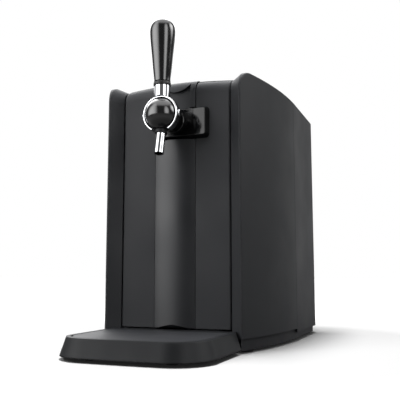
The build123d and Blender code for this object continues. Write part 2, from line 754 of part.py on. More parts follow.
def cover_screws():
    """Four screws that hold the back shell."""
    screws = Part()
    for x, z in rear_screw_spots:
        screws += rod_y(screw_r, x, rear_y - 18, rear_y - screw_head_t, z)
        head = rod_y(screw_head_r - 0.2, x, rear_y - screw_head_t, rear_y - 0.2, z)
        head -= Pos(x, rear_y, z) * Box(4.4, 2.4, 1.0)
        head -= Pos(x, rear_y, z) * Box(1.0, 2.4, 4.4)
        screws += head
    return screws


def lid_pins():
    """Two steel pins pressed into the deck's ears."""
    pin = rod_x(lid_pin_r, lip_half_width - 5, lip_half_width + 6.2, lid_axis_y, lid_axis_z)
    return both_sides(pin)


# ---------------------------------------------------------------- front door
panel_half_width = lip_half_width - door_gap
panel_inner_y = panel_y + shell
column_mid_x = (column_left_x + column_right_x) / 2


def door_skin(x0, x1):
    """Slice of the housing form between two positions, with its outer edge rounded and turned inwards."""
    side = 1 if x0 + x1 > 0 else -1
    outer = hood_form() & span((x0, x1), (-120, panel_back_y), (panel_bottom_z, 400))
    outer_edges = outer.edges().filter_by(
        lambda e: abs((e @ 0.5).X - side * panel_half_width) < 0.01 and (e @ 0.5).Z > panel_bottom_z + 1
        and ((e @ 0.5).Y < panel_y + 0.01 or (e @ 0.5).Z > hood_z - bend_r * 0.8))
    outer = fillet(outer_edges, door_edge_r)
    hollow = hood_form(shell)
    inset = panel_half_width - panel_return_t
    skin = outer - (hollow & span((-inset, inset), (-120, 0), (0, 400)))
    skin -= hollow & span((-200, 200), (panel_inner_y + panel_return, 0), (0, 400))
    x = side * door_screw_x
    for z in door_screw_heights:
        skin += rod_y(screw_r + screw_boss, x, panel_inner_y - 0.5, liner_back_y - liner_wall, z)
        skin -= rod_y(screw_r, x, panel_inner_y, 0, z)
    return skin


def plan_corner(x, y, r):
    """Upright corner piece that a rounding of radius r leaves outside, at the back inner corner (x, y)."""
    square = span((x, x + r), (y - r, y), (block_top_z, 400))
    return square - rod_z(r, x + r, y - r, block_top_z - 1, 401)


def left_panel():
    """Left front panel, with the upper hinge boss under its bend and a relief round the lid's tongue."""
    panel = door_skin(-panel_half_width, column_left_x - fit_gap)
    panel -= mirror(plan_corner(tongue_half_w + notch_gap, panel_back_y, notch_corner_r), about=Plane.YZ)
    reach = -tongue_half_w - notch_gap - door_axis_x
    corner = span((-tongue_half_w - 16, 0), (-120, 0), (block_top_z, 400))
    panel -= corner - rod_z(reach - 0.6, door_axis_x, door_axis_y, 300, 400)
    back_reach = panel_back_y + lid_gap - door_axis_y - 0.3
    tail = span((-100, door_axis_x + 4), (panel_back_y - 4, 0), (deck_z + deck_t, 400))
    panel -= tail - rod_z(back_reach, door_axis_x, door_axis_y, 300, 400)
    top = deck_z + deck_t
    panel -= span((-100, door_axis_x), (door_axis_y, 0), (deck_z - 0.6, top + 0.6))
    boss = rod_z(door_boss_r, door_axis_x, door_axis_y, top + 0.3, crest_z) & hood_form(shell - 0.5)
    boss -= rod_z(door_pin_r, door_axis_x, door_axis_y, top, top + 10)
    return panel + boss


def right_panel():
    """Right front panel, with the window that the display sits in."""
    x0 = column_right_x + column_seam
    panel = door_skin(x0, panel_half_width)
    panel -= span((0, tongue_half_w + notch_gap), (-120, 0), (block_top_z - window_margin, 400))
    panel -= plan_corner(tongue_half_w + notch_gap, panel_back_y, notch_corner_r)
    m = window_margin
    return panel - span((0, display_right_x - m), (-120, -80), (block_bottom_z + m, block_top_z - m))


def bulged_section(inset):
    """Plan of the centre column: an arc that bulges forward between its two edges."""
    x0, x1 = column_left_x + inset, column_right_x - inset
    y = panel_y + inset
    edges = [
        ThreePointArc((x0, y), (column_mid_x, y - column_bulge), (x1, y)),
        Line((x1, y), (x1, panel_inner_y + inset)),
        Line((x1, panel_inner_y + inset), (x0, panel_inner_y + inset)),
        Line((x0, panel_inner_y + inset), (x0, y)),
    ]
    return make_face(Curve() + edges)


def column_form(inset, top_z):
    """Column up to a height, with its underside rounded like a quarter of a rod."""
    bottom_z = panel_bottom_z + inset
    form = Pos(0, 0, bottom_z) * extrude(bulged_section(inset), top_z - bottom_z)
    reach = column_bulge + 0.5
    foot = span((-50, 50), (panel_y - 20, panel_inner_y + 2 * shell), (bottom_z + reach, top_z + 1))
    foot += rod_x(reach, -50, 50, panel_y + inset, bottom_z + reach)
    foot += span((-50, 50), (panel_y + inset, panel_inner_y + 2 * shell), (bottom_z, top_z))
    return form & foot


def centre_column():
    """Bulged cover strip down the middle of the door."""
    top_z = block_bottom_z - fit_gap
    return column_form(0, top_z) - column_form(shell, top_z - shell)


def block_form():
    """Raised block across the column and the display, with drafted sides and rounded right corners."""
    x0, x1 = column_left_x, display_right_x
    z0, z1 = block_bottom_z, block_top_z
    outline = Polyline((x0, z0), (x1, z0), (x1, z1), (x0, z1), close=True)
    face = make_face(outline)
    right = face.vertices().sort_by(Axis.X)[-2:]
    face = fillet(right, display_corner_r)
    depth = panel_y - block_front_y
    angle = math.degrees(math.atan(block_draft / depth))
    form = Pos(0, panel_y, 0) * extrude(Plane.XZ * face, depth, taper=angle)
    front = form.faces().sort_by(Axis.Y)[0].edges()
    return fillet(front, block_edge_r)


def tap_block():
    """Part of the raised block that carries the tap: closed front, hollow behind."""
    low_x, high_x = column_left_x, column_right_x
    block = block_form() & span((-100, high_x), (-200, 0), (0, 400))
    block += span((low_x, high_x), (panel_y - 0.01, panel_inner_y), (block_bottom_z, block_top_z))
    m = shell + block_draft
    height = (block_bottom_z + m, block_top_z - m)
    block -= span((low_x + m, high_x - shell), (block_front_y + shell, 0), height)
    return block - rod_y(thread_r, 0, block_front_y - 5, 0, ball_z)


def display_window():
    """Dark window of the display: the right end of the raised block, with a step that fits the panel."""
    x0 = column_right_x + column_seam
    window = block_form() & span((x0, 100), (-200, 0), (0, 400))
    m = window_margin + fit_gap
    step_z = (block_bottom_z + m, block_top_z - m)
    step = span((x0, display_right_x - m), (panel_y - 0.01, panel_inner_y), step_z)
    height = (block_bottom_z + 8, block_top_z - 8)
    hollow = span((x0 + 2, display_right_x - 8), (block_front_y + 2, 0), height)
    return window + step - hollow


def display_board():
    """Small circuit board with segment display behind the window."""
    x0 = column_right_x + column_seam + 1
    z0, z1 = block_bottom_z + 6, block_top_z - 6
    board = span((x0, display_right_x - 4), (panel_inner_y, panel_inner_y + 1.6), (z0, z1))
    screen = span((x0 + 3, display_right_x - 10), (block_front_y + 4, panel_inner_y), (z0 + 5, z1 - 5))
    return board + screen


def door_liner():
    """Inner tray of the door: rim against the panels, ribs along the seams, hinge bosses at the left."""
    half = liner_half_width
    liner = span((-half, half), (panel_inner_y, liner_back_y), (liner_bottom_z, liner_top_z))
    back = liner.faces().sort_by(Axis.Y)[-1].edges()
    liner = fillet(back, 2)
    w = liner_wall
    height = (liner_bottom_z + w, liner_top_z - w)
    liner -= span((-half + w, half - w), (panel_inner_y - 1, liner_back_y - w), height)
    rib_y = (panel_inner_y, liner_back_y - w + 0.1)
    for x in (column_left_x - fit_gap / 2, column_right_x + column_seam / 2):
        liner += span((x - w / 2, x + w / 2), rib_y, (liner_bottom_z + 1, liner_top_z - 1))
    shelf_z = block_bottom_z - fit_gap / 2
    liner += span((column_left_x, column_right_x), rib_y, (shelf_z - w / 2, shelf_z + w / 2))
    bosses = rod_z(door_boss_r, door_axis_x, door_axis_y, hinge_seat_z + fit_gap, liner_bottom_z + 14)
    bosses += rod_z(door_boss_r, door_axis_x, door_axis_y, liner_top_z - 14, deck_z - fit_gap)
    liner += bosses & span((-200, 0), (panel_inner_y, 0), (0, 400))
    liner -= rod_z(door_pin_r, door_axis_x, door_axis_y, 0, liner_bottom_z + 14)
    liner -= rod_z(door_pin_r, door_axis_x, door_axis_y, deck_z - 5, deck_z)
    liner -= rod_y(stub_r, 0, -80, 0, ball_z)
    for x in (-door_screw_x, door_screw_x):
        for z in door_screw_heights:
            liner -= rod_y(screw_r, x, -80, 0, z) + rod_y(screw_head_r, x, liner_back_y - 1.4, 0, z)
    return liner


def door_gasket():
    """Soft seal round the back of the door."""
    outer_w, inner_w = gasket_half_width, gasket_half_width - gasket_w
    y = (liner_back_y, frame_y - fit_gap)
    ring = span((-outer_w, outer_w), y, (gasket_z0, gasket_z1))
    ring = fillet(ring.edges().filter_by(Axis.Y), 6)
    inner = span((-inner_w, inner_w), (y[0] - 1, y[1] + 1), (gasket_z0 + gasket_w, gasket_z1 - gasket_w))
    return ring - fillet(inner.edges().filter_by(Axis.Y), 3)


def door_screws():
    """Six screws that hold the liner on the panels' bosses."""
    screws = Part()
    for x in (-door_screw_x, door_screw_x):
        for z in door_screw_heights:
            screws += rod_y(screw_r, x, panel_inner_y + 2, liner_back_y - 1.4, z)
            screws += rod_y(screw_head_r, x, liner_back_y - 1.4, liner_back_y, z)
    return screws


def door_pins():
    """Lower and upper hinge pin of the door."""
    lower = rod_z(door_pin_r, door_axis_x, door_axis_y, pin_bottom_z, liner_bottom_z + 14)
    upper = rod_z(door_pin_r, door_axis_x, door_axis_y, deck_z - 5, deck_z + deck_t + 10)
    return lower + upper


# ---------------------------------------------------------------- tap
def along_spout(r, low, high):
    """Cylinder along the spout's line, between two distances below the ball's height."""
    place = Pos(0, spout_axis_y, ball_z) * Rot(-spout_lean_deg, 0, 0)
    return place * Pos(0, 0, -(low + high) / 2) * Cylinder(r, high - low)


def ball_sphere(r=ball_r):
    return Pos(0, ball_y, ball_z) * Sphere(r)


def tap_ball():
    """Fixed ball of the tap, with the sockets for barrel, spout and pivots."""
    ball = ball_sphere()
    ball -= rod_y(barrel_bore_r, 0, ball_y - 4, ball_y + 2 * ball_r, ball_z)
    ball -= along_spout(spout_r, spout_root, 2 * ball_r)
    ball -= along_spout(ball_bore_r, 0, spout_root + 1)
    for side in (-1, 1):
        ball -= Pos(side * (pivot_root_x + ball_r) / 2, ball_y, ball_z) * Rot(0, 90, 0) * Cylinder(
            pivot_r, ball_r - pivot_root_x)
    return ball


def tap_barrel():
    """Neck between door and ball: flange, barrel with a seat for the ball, threaded tail."""
    barrel = rod_y(barrel_r, 0, ball_y + barrel_r, block_front_y - flange_t, ball_z)
    flange = rod_y(flange_r, 0, block_front_y - flange_t, block_front_y, ball_z)
    flange = chamfer(flange.edges().filter_by(GeomType.CIRCLE).sort_by(Axis.Y)[0], 0.8)
    tail = rod_y(thread_r, 0, block_front_y, barrel_tail_y, ball_z)
    return barrel + flange + tail - ball_sphere() - rod_y(barrel_bore_r, 0, ball_y, 0, ball_z)


def tap_nut():
    """Hexagon nut behind the block's front wall."""
    y = block_front_y + shell
    nut = Pos(0, y, ball_z) * extrude(Plane.XZ * RegularPolygon(nut_r, 6), -nut_t)
    return nut - rod_y(thread_r, 0, y - 1, y + nut_t + 1, ball_z)


def hose_stub():
    """Hose nipple of the tap, reaching through the liner towards the keg."""
    stub = rod_y(thread_r, 0, barrel_tail_y, barrel_tail_y + 3, ball_z)
    stub += rod_y(stub_r, 0, barrel_tail_y, stub_end_y - 5, ball_z)
    nose = Pos(0, stub_end_y - 2.5, ball_z) * Rot(90, 0, 0) * Cone(stub_r - 1.2, stub_r, 5)
    return stub + nose - rod_y(stub_bore_r, 0, barrel_tail_y - 1, stub_end_y + 1, ball_z)


def spout():
    """Bright spout tube, leaning forward as it goes down."""
    length = (ball_z - spout_bottom_z) / math.cos(math.radians(spout_lean_deg))
    return along_spout(spout_r, spout_root, length) - along_spout(spout_bore_r, spout_root - 1, length + 1)


def spout_collar():
    """Dark collar where the spout leaves the ball."""
    length = (ball_z - collar_bottom_z) / math.cos(math.radians(spout_lean_deg))
    collar = along_spout(collar_r, ball_r * 0.7, length)
    collar = fillet(collar.edges().filter_by(GeomType.CIRCLE).sort_by(Axis.Z)[0], 1)
    return collar - ball_sphere() - along_spout(spout_r, 0, length + 1)


def yoke_pivots():
    """Two headed pins on which the yoke turns."""
    outer_x = ball_r + yoke_gap + yoke_t + 0.3
    pin = rod_x(pivot_r, pivot_root_x, outer_x, ball_y, ball_z)
    head = rod_x(pivot_head_r, outer_x, outer_x + pivot_head_t, ball_y, ball_z)
    head = fillet(head.edges().sort_by(Axis.X)[-1], 0.6)
    return both_sides(pin + head)


def handle_yoke():
    """Bright C-shaped band over the ball, open at the bottom, turning on the two pivots."""
    inner_r = ball_r + yoke_gap
    y0, y1 = ball_y + yoke_front, ball_y + yoke_back
    band = rod_y(inner_r + yoke_t, 0, y0, y1, ball_z)
    band = fillet(band.edges().filter_by(GeomType.CIRCLE), yoke_edge_r)
    band -= rod_y(inner_r, 0, y0 - 1, y1 + 1, ball_z)
    reach = 2 * ball_r
    half = reach * math.tan(math.radians(yoke_mouth_deg))
    mouth = make_face(Polyline((0, 0), (half, -reach), (-half, -reach), close=True))
    band -= Pos(0, ball_y, ball_z) * extrude(Plane.XZ * mouth, reach, both=True)
    return band - rod_x(pivot_r + running_gap, -2 * ball_r, 2 * ball_r, ball_y, ball_z)


def handle_neck():
    """Bright neck between yoke and grip, saddled on the band, with a spigot into the grip."""
    saddle_r = ball_r + yoke_gap + yoke_t
    neck = rod_z(neck_r, 0, ball_y, ball_z + saddle_r - 4, grip_bottom_z)
    neck -= rod_y(saddle_r, 0, ball_y - 20, ball_y + 20, ball_z)
    return neck + rod_z(spigot_r, 0, ball_y, grip_bottom_z - 0.1, grip_bottom_z + spigot_h)


def handle_grip():
    """Turned grip: slender foot, full shoulder and domed top."""
    height = grip_top_z - grip_wide_z
    swell, length = grip_wide_r - grip_foot_r, grip_wide_z - grip_bottom_z
    curve = Spline(
        (grip_foot_r, grip_bottom_z + 1.5),
        (grip_foot_r + 0.17 * swell, grip_bottom_z + 0.2 * length),
        (grip_foot_r + 0.62 * swell, grip_bottom_z + 0.62 * length),
        (grip_wide_r, grip_wide_z),
        (0.945 * grip_wide_r, grip_wide_z + 0.52 * height),
        (0.77 * grip_wide_r, grip_wide_z + 0.76 * height),
        (0.38 * grip_wide_r, grip_wide_z + 0.945 * height),
        (0, grip_top_z),
        tangents=((0.02, 1), (-1, 0)))
    edges = [
        Line((0, grip_top_z), (0, grip_bottom_z)),
        Line((0, grip_bottom_z), (grip_foot_r - 1.5, grip_bottom_z)),
        Line((grip_foot_r - 1.5, grip_bottom_z), (grip_foot_r, grip_bottom_z + 1.5)),
    ]
    grip = Pos(0, ball_y, 0) * revolve(Plane.XZ * make_face(Curve() + [curve] + edges), Axis.Z)
    return grip - rod_z(spigot_r, 0, ball_y, grip_bottom_z - 1, grip_bottom_z + spigot_h)


# ---------------------------------------------------------------- lid
def lid_block(half_width, inset, bottom_z):
    """Side profile of the lid between its front edge and the round tail about the hinge."""
    front = panel_back_y + lid_gap + inset
    block = span((-half_width, half_width), (front, lid_axis_y), (bottom_z, 400))
    tail = rod_x(lid_tail_r - inset, -half_width, half_width, lid_axis_y, lid_axis_z)
    return block + (tail & span((-200, 200), (0, 300), (bottom_z, 400)))


def lid_form(inset=0.0):
    """Middle of the housing, tilted about the lid's hinge so that the lid stands proud in front."""
    slope = math.degrees(math.atan(lid_rise / (lid_axis_y - panel_y)))
    tilt = Pos(0, lid_axis_y, hood_z) * Rot(-slope, 0, 0) * Pos(0, -lid_axis_y, -hood_z)
    return tilt * hood_form(inset)


def finger_recess():
    """Front view of the recess: open at the bottom, bounded above by the round nose."""
    x, bottom = grip_half_w, tongue_bottom_z - 1
    center_z = nose_z + nose_r
    side_z = center_z - math.sqrt(nose_r ** 2 - x ** 2)
    edges = [
        Line((-x, bottom), (x, bottom)),
        Line((x, bottom), (x, side_z)),
        ThreePointArc((x, side_z), (0, nose_z), (-x, side_z)),
        Line((-x, side_z), (-x, bottom)),
    ]
    return Pos(0, panel_y + bend_r, 0) * extrude(Plane.XZ * make_face(Curve() + edges), 2 * bend_r)


def lid_cover():
    """Crowned lid shell with side skirts and a round tail."""
    half = lip_half_width - lid_gap
    cover = lid_form() & lid_block(half, 0, lid_skirt_z)
    cover -= lid_form(shell) & lid_block(half - lid_wall, lid_wall, lid_skirt_z - 1)
    for x in pull_screw_x:
        cover -= rod_y(screw_r, x, panel_back_y, panel_back_y + lid_gap + lid_wall + 1, pull_screw_z)
    return cover - rod_x(lid_pin_r + running_gap, -90, 90, lid_axis_y, lid_axis_z)


def lid_pull():
    """Front end of the lid, a thick tongue that reaches down the front and carries on the lid's form."""
    depth = (-120, panel_back_y + lid_gap)
    pull = (lid_form() - lid_form(tongue_t)) & span(
        (-tongue_half_w, tongue_half_w), depth, (tongue_bottom_z, 400))
    pull -= finger_recess() - lid_form(grip_depth)
    for x in pull_screw_x:
        pull -= rod_y(screw_r, x, depth[1] - pull_screw_len, depth[1] + 1, pull_screw_z)
    return pull


def pull_screws():
    """Two screws that hold the pull on the lid's front wall, put in from inside the lid."""
    screws = Part()
    seat = panel_back_y + lid_gap + lid_wall
    for x in pull_screw_x:
        screws += rod_y(screw_r, x, seat - lid_wall - pull_screw_len + 0.5, seat, pull_screw_z)
        screws += rod_y(screw_head_r, x, seat, seat + screw_head_t, pull_screw_z)
    return screws


def lid_core():
    """Insulated inside of the lid, filling the shell over the keg bay."""
    half = lip_half_width - lid_gap - lid_wall
    front = panel_back_y + lid_gap + lid_core_gap
    return lid_form(shell) & span((-half, half), (front, lid_core_back_y), (lid_core_z, 400))


def lid_gasket():
    """Soft seal under the lid, round the top of the keg bay."""
    z0 = deck_z + deck_t + fit_gap
    outer = bay_half_width + lid_gasket_w
    front = frame_y + 1
    ring = bay_block(outer, front, z0, lid_core_z)
    return ring - bay_block(outer - lid_gasket_w, front + lid_gasket_w, z0 - 1, lid_core_z + 1)


# ---------------------------------------------------------------- drip tray
def tray_outline(inset, z):
    """Outline of the tray at a height: bowed front, large front corners, straight sides and back."""
    rise = (z - tray_bottom_z) / (tray_top_z - tray_bottom_z)
    lean = (tray_foot_half_w - tray_top_half_w) * rise + inset
    x, y0, y1 = tray_foot_half_w - lean, tray_front_y + lean, tray_back_y - inset
    edges = [
        Line((x, y1), (x, y0 + tray_bow)),
        ThreePointArc((x, y0 + tray_bow), (0, y0), (-x, y0 + tray_bow)),
        Line((-x, y0 + tray_bow), (-x, y1)),
        Line((-x, y1), (x, y1)),
    ]
    face = make_face(Curve() + edges)
    face = fillet(face.vertices().sort_by(Axis.Y)[:2], tray_corner_r - lean)
    return Pos(0, 0, z) * face


def tray_form(inset, z0, z1):
    return loft([tray_outline(inset, z0), tray_outline(inset, z1)], ruled=True)


def drip_tray_body():
    """Tray: leaning outer wall, basin inside it, ledge for the drip plate and the piece under the door."""
    ledge_z = tray_top_z - plate_t
    body = tray_form(0, tray_bottom_z, tray_top_z)
    basin_in = plate_rim + ledge_w
    gap_top = ledge_z - tray_floor
    gap = tray_form(tray_wall, tray_bottom_z - 1, gap_top)
    body -= gap - tray_form(basin_in - tray_floor, tray_bottom_z - 2, gap_top + 1)
    body -= tray_form(basin_in, tray_bottom_z + tray_floor, tray_top_z + 1)
    body -= tray_form(plate_rim, ledge_z, tray_top_z + 1)
    for i in range(5):
        y = tray_front_y + 35 + 24 * i
        notch = span((-200, 200), (y, y + 12), (ledge_z - 1.6, ledge_z + 0.1))
        body -= tray_form(plate_rim + fit_gap, ledge_z - 3, tray_top_z) & notch
    return body + tray_tail()


def tray_tail():
    """Hollow piece of the tray that fills the valley between the cheeks and goes in under the door."""
    slope = (tip_half_width - lip_half_width) / (panel_y - tip_y)
    side_gap = 2.0
    x0 = tray_top_half_w - 1
    x1 = lip_half_width + (panel_y - tray_valley_y) * slope - side_gap
    y0 = panel_y - (x0 + side_gap - lip_half_width) / slope
    right = [(x0, tray_back_y - 1), (x0, y0), (x1, tray_valley_y), (tray_tongue_w, tray_valley_y),
             (tray_tongue_w, tray_tongue_y)]
    outline = right + [(-x, y) for x, y in reversed(right)]
    face = make_face(Polyline(*outline, close=True))
    tail = Pos(0, 0, tray_bottom_z) * extrude(face, tray_top_z - tray_bottom_z)
    w = tray_wall
    hollow = span((-tray_tongue_w + w, tray_tongue_w - w), (tray_back_y + w, tray_tongue_y - w),
                  (tray_bottom_z - 1, tray_top_z - w))
    return tail - hollow


def tray_pads():
    """Soft pads under the tray."""
    pads = Part()
    for x, y in ((-70, -125), (70, -125), (-52, -215), (52, -215)):
        pads += Pos(x, y, tray_bottom_z / 2) * Cone(tray_pad_r - 1, tray_pad_r, tray_bottom_z)
    return pads


def drip_plate():
    """Smooth plate that the glass stands on, draining round its edge, with ribs underneath."""
    ledge_z = tray_top_z - plate_t
    edge, bevel = plate_rim + drain_gap, 0.5
    plate = tray_form(edge, ledge_z, tray_top_z - bevel)
    bevelled = [tray_outline(edge, tray_top_z - bevel), tray_outline(edge + bevel, tray_top_z)]
    plate += loft(bevelled, ruled=True)
    room = tray_form(plate_rim + ledge_w + 1, ledge_z - 3, ledge_z + 0.1)
    for y in (-220, -185, -150, -120):
        plate += room & span((-200, 200), (y - 1, y + 1), (ledge_z - 3, ledge_z + 0.1))
    for x in (-60, -20, 20, 60):
        plate += room & span((x - 1, x + 1), (-300, 0), (ledge_z - 3, ledge_z + 0.1))
    return plate


right_side = side_panel()
parts = {
    "base_pan": base_pan(),
    "rubber_feet": rubber_feet(),
    "right_side_panel": right_side,
    "left_side_panel": mirror(right_side, about=Plane.YZ),
    "rear_cover": rear_cover(),
    "front_frame": front_frame(),
    "top_deck": top_deck(),
    "keg_well": keg_well(),
    "well_insulation": insulation(),
    "cold_plate": cold_plate(),
    "cooling_module": cooling_module(),
    "rear_bulkhead": bulkhead(),
    "heat_sink": heat_sink(),
    "fan_frame": fan_frame(),
    "fan_rotor": fan_rotor(),
    "fan_screws": fan_screws(),
    "power_supply": power_supply(),
    "control_board": control_board(),
    "air_pump": air_pump(),
    "air_line": air_line(),
    "air_port": air_port(),
    "mains_inlet": mains_inlet(),
    "inlet_pins": inlet_pins(),
    "switch_bezel": switch_bezel(),
    "power_switch": rocker(),
    "cover_screws": cover_screws(),
    "lid_hinge_pins": lid_pins(),
    "left_front_panel": left_panel(),
    "right_front_panel": right_panel(),
    "centre_column": centre_column(),
    "tap_block": tap_block(),
    "display_window": display_window(),
    "display_board": display_board(),
    "door_liner": door_liner(),
    "door_gasket": door_gasket(),
    "door_screws": door_screws(),
    "door_hinge_pins": door_pins(),
    "tap_ball": tap_ball(),
    "tap_barrel": tap_barrel(),
    "tap_nut": tap_nut(),
    "hose_stub": hose_stub(),
    "spout": spout(),
    "spout_collar": spout_collar(),
    "yoke_pivots": yoke_pivots(),
    "handle_yoke": handle_yoke(),
    "handle_neck": handle_neck(),
    "handle_grip": handle_grip(),
    "lid_cover": lid_cover(),
    "lid_pull": lid_pull(),
    "pull_screws": pull_screws(),
    "lid_core": lid_core(),
    "lid_gasket": lid_gasket(),
    "drip_tray_body": drip_tray_body(),
    "tray_pads": tray_pads(),
    "drip_plate": drip_plate(),
}

os.makedirs("parts", exist_ok=True)
for name, piece in parts.items():
    export_step(piece, f"parts/{name}.step")
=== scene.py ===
# %% [markdown]
# # Home draught beer dispenser
# The solids come from the CAD model and stay where they are. This lesson dresses them: it gives each
# piece the finish of the real one, adds one small part that is quicker to model here, and lights the
# machine like a studio shot. Lengths are in metres, +Z is up, and the front looks towards -Y.

# %% Load the frame
import bpy
import math
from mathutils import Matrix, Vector


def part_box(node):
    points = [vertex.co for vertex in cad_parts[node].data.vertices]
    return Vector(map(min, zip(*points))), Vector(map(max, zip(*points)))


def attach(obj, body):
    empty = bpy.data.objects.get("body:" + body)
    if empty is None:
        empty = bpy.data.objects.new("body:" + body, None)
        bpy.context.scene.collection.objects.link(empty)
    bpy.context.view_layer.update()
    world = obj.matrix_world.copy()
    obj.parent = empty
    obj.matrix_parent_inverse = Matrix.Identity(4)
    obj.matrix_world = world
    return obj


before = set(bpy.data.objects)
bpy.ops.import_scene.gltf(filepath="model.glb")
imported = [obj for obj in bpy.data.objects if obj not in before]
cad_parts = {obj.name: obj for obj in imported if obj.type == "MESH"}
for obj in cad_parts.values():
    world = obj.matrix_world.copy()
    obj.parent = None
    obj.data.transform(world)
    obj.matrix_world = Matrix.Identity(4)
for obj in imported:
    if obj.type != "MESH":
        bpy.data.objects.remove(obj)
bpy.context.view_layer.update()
mm = 0.001

# %% [markdown]
# ## Colours and nodes
# Paint and plastic colours are written as sRGB hex values, the way a colour card gives them. Shaders
# work in linear light, so one function turns a hex value into linear. Another adds a node, sets its
# values and links its inputs, so that each finish reads as a list of steps.

# %% Hex to linear
def linear(hex_value):
    """Linear RGBA of an sRGB hex colour."""
    channels = [int(hex_value[i:i + 2], 16) / 255 for i in (1, 3, 5)]
    return [c / 12.92 if c <= 0.04045 else ((c + 0.055) / 1.055) ** 2.4 for c in channels] + [1.0]


print("half grey on a colour card is", round(linear("#808080")[0], 3), "in linear light")

# %% Add a node
def add(tree, kind, inputs=None, **settings):
    """A new node with its settings. An input is a value, an output, or a node with its first output."""
    node = tree.nodes.new(kind)
    for name, value in settings.items():
        setattr(node, name, value)
    for socket, value in (inputs or {}).items():
        if isinstance(value, bpy.types.Node):
            value = value.outputs[0]
        if isinstance(value, bpy.types.NodeSocket):
            tree.links.new(value, node.inputs[socket])
        else:
            node.inputs[socket].default_value = value
    return node


# %% Start and end of a material
def new_material(name):
    """An empty node material, its tree, and the object coordinates that its patterns use."""
    material = bpy.data.materials.new(name)
    material.use_nodes = True
    tree = material.node_tree
    tree.nodes.clear()
    place = add(tree, "ShaderNodeTexCoord").outputs["Object"]
    return material, tree, place


def finish_surface(tree, inputs):
    """The material's shader and output."""
    shader = add(tree, "ShaderNodeBsdfPrincipled", inputs)
    add(tree, "ShaderNodeOutputMaterial", {"Surface": shader})


def made(*materials):
    """Print the finishes that a cell has made."""
    print("made:", ", ".join(material.name for material in materials))


# %% [markdown]
# ## Noise
# A noise texture's scale is one over the size of its blobs, so each finish gives its blobs a size in
# millimetres. Its values run from 0 to 1 but rarely reach either, so a finish spreads its tones over
# the part that is used. The tighter span gives patches that stand out more.

# %% Spans of a noise
noise_low = 0.3
noise_high = 0.7
tight_low = 0.35
tight_high = 0.65
print("noises are read from", noise_low, "to", noise_high, "or from", tight_low, "to", tight_high)

# %% [markdown]
# ## Moulded plastic
# The housing is ABS, injection moulded in a spark-eroded tool, which leaves a fine even texture that
# scatters highlights. The real grain is about 0.3 mm. It is drawn 0.9 mm wide, so that it still shows
# at this distance. Broad, weak changes of roughness stand for handling and for the flow of the melt.
# No mould leaves a sharp edge. The solids leave out the smallest roundings, so a Bevel node turns the
# shading there, and an edge gets its thin line of light with no more faces. The texture could be
# painted on a UV map, but noise on object coordinates needs no map and has no seams.

# %% Textured plastic
mould_grain = 0.9 * mm
mould_depth = 0.03 * mm
mould_edge = 0.5 * mm
flow_size = 70 * mm
matt_change = 0.05
edge_rays = 6
abs_ior = 1.53


def moulded_plastic(name, dark, light, roughness, grain=mould_grain, depth=mould_depth, shine=0.35,
                    edge=mould_edge):
    """Textured moulded plastic between two close tones, with edges as round as its mould left them."""
    material, tree, place = new_material(name)
    fine = add(tree, "ShaderNodeTexNoise", {"Vector": place, "Scale": 1 / grain, "Detail": 2.0})
    broad = add(tree, "ShaderNodeTexNoise", {"Vector": place, "Scale": 1 / flow_size, "Detail": 2.0})
    both = add(tree, "ShaderNodeMath", {0: fine, 1: broad}, operation="ADD")
    tone = add(tree, "ShaderNodeMapRange", {
        "Value": both, "From Min": 2 * noise_low, "From Max": 2 * noise_high})
    colour = add(tree, "ShaderNodeMix", {0: tone, 6: linear(dark), 7: linear(light)}, data_type="RGBA")
    matt = add(tree, "ShaderNodeMapRange", {
        "Value": broad, "From Min": noise_low, "From Max": noise_high,
        "To Min": roughness - matt_change, "To Max": roughness + matt_change})
    round_edge = add(tree, "ShaderNodeBevel", {"Radius": edge}, samples=edge_rays)
    bump = add(tree, "ShaderNodeBump", {
        "Height": fine, "Strength": 1.0, "Distance": depth, "Normal": round_edge})
    finish_surface(tree, {
        "Base Color": colour.outputs[2], "Roughness": matt, "IOR": abs_ior,
        "Specular IOR Level": shine, "Normal": bump})
    return material


# %% [markdown]
# ## Gloss plastic
# The grip and the ball are black phenolic under clear lacquer, so they get a coat over their own
# shine. The tap's block and the display window are bare polished plastic. Such faces are never quite
# flat: the melt leaves long low waves, which bend the edges of what the surface mirrors.

# %% Gloss plastic
wave_size = 22 * mm
wave_depth = 0.05 * mm
smear_size = 14 * mm
smear_change = 0.06
gloss_ior = 1.5


def gloss_plastic(name, dark, light, roughness, lacquer):
    """Polished black plastic with faint moulding waves and smears, and lacquer from 0 to 1."""
    material, tree, place = new_material(name)
    waves = add(tree, "ShaderNodeTexNoise", {"Vector": place, "Scale": 1 / wave_size, "Detail": 1.0})
    smears = add(tree, "ShaderNodeTexNoise", {"Vector": place, "Scale": 1 / smear_size, "Detail": 2.0})
    colour = add(tree, "ShaderNodeMix", {0: smears, 6: linear(dark), 7: linear(light)}, data_type="RGBA")
    haze = add(tree, "ShaderNodeMapRange", {
        "Value": smears, "From Min": tight_low, "From Max": tight_high,
        "To Min": roughness, "To Max": roughness + smear_change})
    bump = add(tree, "ShaderNodeBump", {"Height": waves, "Strength": 1.0, "Distance": wave_depth})
    finish_surface(tree, {
        "Base Color": colour.outputs[2], "Roughness": haze, "IOR": gloss_ior,
        "Coat Weight": lacquer, "Coat Roughness": roughness, "Normal": bump})
    return material


# %% [markdown]
# ## The machine's plastics
# The housing, the front panels and the lid are one anthracite ABS. The column is the same colour from a
# smoother tool. The tray is blacker and its edges are rounder. Fan, pump and switch parts are nylon
# filled with glass, whose fibres leave a rougher skin. One finish for all would be quicker, but the
# small steps between them are what tells one moulding from the next.

